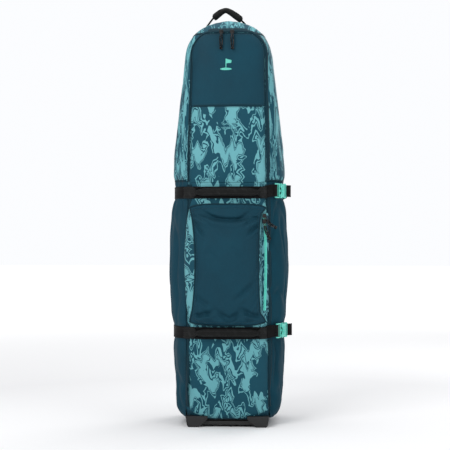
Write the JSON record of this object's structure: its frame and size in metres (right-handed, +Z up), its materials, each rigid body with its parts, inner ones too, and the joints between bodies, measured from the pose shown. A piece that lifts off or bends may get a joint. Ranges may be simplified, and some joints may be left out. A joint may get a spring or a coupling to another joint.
{
  "type": "wheeled golf travel case",
  "caption": "Tall padded soft case for a golf bag, with hinged zip hood, front pocket, two compression straps with side-release buckles, grab and haul handles, front skid feet and rear wheels.",
  "frame": {"origin": "on the floor under the middle of the case", "axes": "+Z up along the case, +X to the right seen from the front, -Y towards the front"},
  "size_m": [0.3768, 0.357, 1.2808],
  "materials": {
    "solid_fabric": "plain woven polyester, dark teal",
    "print_fabric": "woven polyester with a two-tone camouflage-style print",
    "black_webbing": "flat nylon webbing",
    "black_plastic": "moulded, fine texture",
    "mint_plastic": "moulded acetal, semi-gloss",
    "mint_tape": "zipper tape and coil",
    "black_tape": "zipper tape and coil",
    "foam": "lining over foam",
    "board": "corrugated stiffener",
    "tyre_rubber": "solid moulded urethane",
    "hub_plastic": "spoked wheel core",
    "bearing_steel": "turned",
    "zinc": "painted die casting",
    "cord": "braided cord",
    "screw_steel": "zinc plated"
  },
  "bodies": {
    "case": {"axles": "screw_steel", "back_board": "board", "back_panel": "solid_fabric", "back_runners": "black_plastic", "base_fasteners": "screw_steel", "base_plate": "black_plastic", "bottom_panel": "solid_fabric", "case_zip_tape": "black_tape", "front_skid": "black_plastic", "grab_handle_patches": "black_webbing", "haul_handle_legs": "black_webbing", "hood_foam": "foam", "inner_strap": "black_webbing", "inner_strap_buckle": "black_plastic", "kick_plate": "black_plastic", "left_gusset": "solid_fabric", "lower_buckle_socket": "mint_plastic", "lower_print_panel": "print_fabric", "lower_strap": "black_webbing", "middle_print_panel": "print_fabric", "pocket_shell": "solid_fabric", "pocket_slider_upper": "zinc", "pocket_zipper": "mint_tape", "right_gusset": "solid_fabric", "upper_buckle_socket": "mint_plastic", "upper_gusset": "print_fabric", "upper_strap": "black_webbing", "wheel_housing_left": "black_plastic", "wheel_housing_right": "black_plastic"},
    "flap": {"hood_plain_panel": "solid_fabric", "hood_print_panel": "print_fabric", "flap_foam": "foam", "flap_zip_tape": "black_tape"},
    "main_slider_left": {"main_slider_left": "zinc"},
    "main_pull_left": {"main_pull_left_tab": "black_plastic", "main_pull_left_cord": "cord"},
    "main_slider_right": {"main_slider_right": "zinc"},
    "main_pull_right": {"main_pull_right_tab": "black_plastic", "main_pull_right_cord": "cord"},
    "pocket_slider": {"pocket_slider_lower": "zinc"},
    "pocket_pull_upper": {"pocket_pull_upper_tab": "black_plastic", "pocket_pull_upper_cord": "cord"},
    "pocket_pull_lower": {"pocket_pull_lower_tab": "black_plastic", "pocket_pull_lower_cord": "cord"},
    "haul_handle": {"haul_grip": "black_webbing"},
    "upper_grab": {"upper_grab_grip": "black_webbing"},
    "upper_plug": {"upper_buckle_plug": "mint_plastic"},
    "upper_prong_a": {"upper_buckle_prong_top": "mint_plastic"},
    "upper_prong_b": {"upper_buckle_prong_bottom": "mint_plastic"},
    "lower_grab": {"lower_grab_grip": "black_webbing"},
    "lower_plug": {"lower_buckle_plug": "mint_plastic"},
    "lower_prong_a": {"lower_buckle_prong_top": "mint_plastic"},
    "lower_prong_b": {"lower_buckle_prong_bottom": "mint_plastic"},
    "wheel_left": {"wheel_tyre_left": "tyre_rubber", "wheel_hub_left": "hub_plastic", "wheel_bearings_left": "bearing_steel"},
    "wheel_right": {"wheel_tyre_right": "tyre_rubber", "wheel_hub_right": "hub_plastic", "wheel_bearings_right": "bearing_steel"}
  },
  "joints": [
    {"name": "hood_flap_fold", "type": "hinge", "parent": "case", "child": "flap", "pos_m": [0, -0.1354, 0.735], "axis": [1, 0, 0], "range_deg": [0, 115]},
    {"name": "main_slider_left_run", "type": "slide", "parent": "flap", "child": "main_slider_left", "axis": [-1, 0, 0], "range_m": [0, 0.032]},
    {"name": "main_pull_left_swing", "type": "hinge", "parent": "main_slider_left", "child": "main_pull_left", "pos_m": [-0.02, -0.0981, 1.1974], "axis": [-1, 0, 0], "range_deg": [0, 100]},
    {"name": "main_slider_right_run", "type": "slide", "parent": "flap", "child": "main_slider_right", "axis": [1, 0, 0], "range_m": [0, 0.032]},
    {"name": "main_pull_right_swing", "type": "hinge", "parent": "main_slider_right", "child": "main_pull_right", "pos_m": [0.013, -0.0981, 1.1974], "axis": [-1, 0, 0], "range_deg": [0, 100]},
    {"name": "pocket_slider_run", "type": "slide", "parent": "case", "child": "pocket_slider", "axis": [0, 0, -1], "range_m": [0, 0.25]},
    {"name": "pocket_pull_upper_swing", "type": "hinge", "parent": "case", "child": "pocket_pull_upper", "pos_m": [0.112, -0.1394, 0.636], "axis": [-0.8878, -0.0146, -0.46], "range_deg": [0, 60]},
    {"name": "pocket_pull_lower_swing", "type": "hinge", "parent": "pocket_slider", "child": "pocket_pull_lower", "pos_m": [0.112, -0.1394, 0.6196], "axis": [-0.9982, 0, -0.0599], "range_deg": [0, 70]},
    {"name": "haul_handle_swing", "type": "hinge", "parent": "case", "child": "haul_handle", "pos_m": [0, 0.012, 1.216], "axis": [1, 0, 0], "range_deg": [-15, 15]},
    {"name": "upper_grab_swing", "type": "hinge", "parent": "case", "child": "upper_grab", "pos_m": [0, -0.139, 0.706], "axis": [1, 0, 0], "range_deg": [-30, 30]},
    {"name": "upper_buckle_release", "type": "slide", "parent": "case", "child": "upper_plug", "axis": [-0.4602, -0.8878, 0], "range_m": [0, 0.02]},
    {"name": "lower_grab_swing", "type": "hinge", "parent": "case", "child": "lower_grab", "pos_m": [0, -0.141, 0.284], "axis": [1, 0, 0], "range_deg": [-30, 30]},
    {"name": "lower_buckle_release", "type": "slide", "parent": "case", "child": "lower_plug", "axis": [-0.4602, -0.8878, 0], "range_m": [0, 0.02]},
    {"name": "upper_prong_top_squeeze", "type": "hinge", "parent": "upper_plug", "child": "upper_prong_a", "pos_m": [0.15542, -0.0928, 0.726], "axis": [-0.8878, 0.4602, 0], "range_deg": [0, 7], "stiffness_Nm_per_rad": 0.4},
    {"name": "upper_prong_bottom_squeeze", "type": "hinge", "parent": "upper_plug", "child": "upper_prong_b", "pos_m": [0.15542, -0.0928, 0.698], "axis": [0.8878, -0.4602, 0], "range_deg": [0, 7], "stiffness_Nm_per_rad": 0.4},
    {"name": "lower_prong_top_squeeze", "type": "hinge", "parent": "lower_plug", "child": "lower_prong_a", "pos_m": [0.15892, -0.0941, 0.304], "axis": [-0.8878, 0.4602, 0], "range_deg": [0, 7], "stiffness_Nm_per_rad": 0.4},
    {"name": "lower_prong_bottom_squeeze", "type": "hinge", "parent": "lower_plug", "child": "lower_prong_b", "pos_m": [0.15892, -0.0941, 0.276], "axis": [0.8878, -0.4602, 0], "range_deg": [0, 7], "stiffness_Nm_per_rad": 0.4},
    {"name": "wheel_left_spin", "type": "hinge", "parent": "case", "child": "wheel_left", "pos_m": [-0.102, 0.14, 0.036], "axis": [1, 0, 0], "continuous": true},
    {"name": "wheel_right_spin", "type": "hinge", "parent": "case", "child": "wheel_right", "pos_m": [0.102, 0.14, 0.036], "axis": [1, 0, 0], "continuous": true}
  ]
}
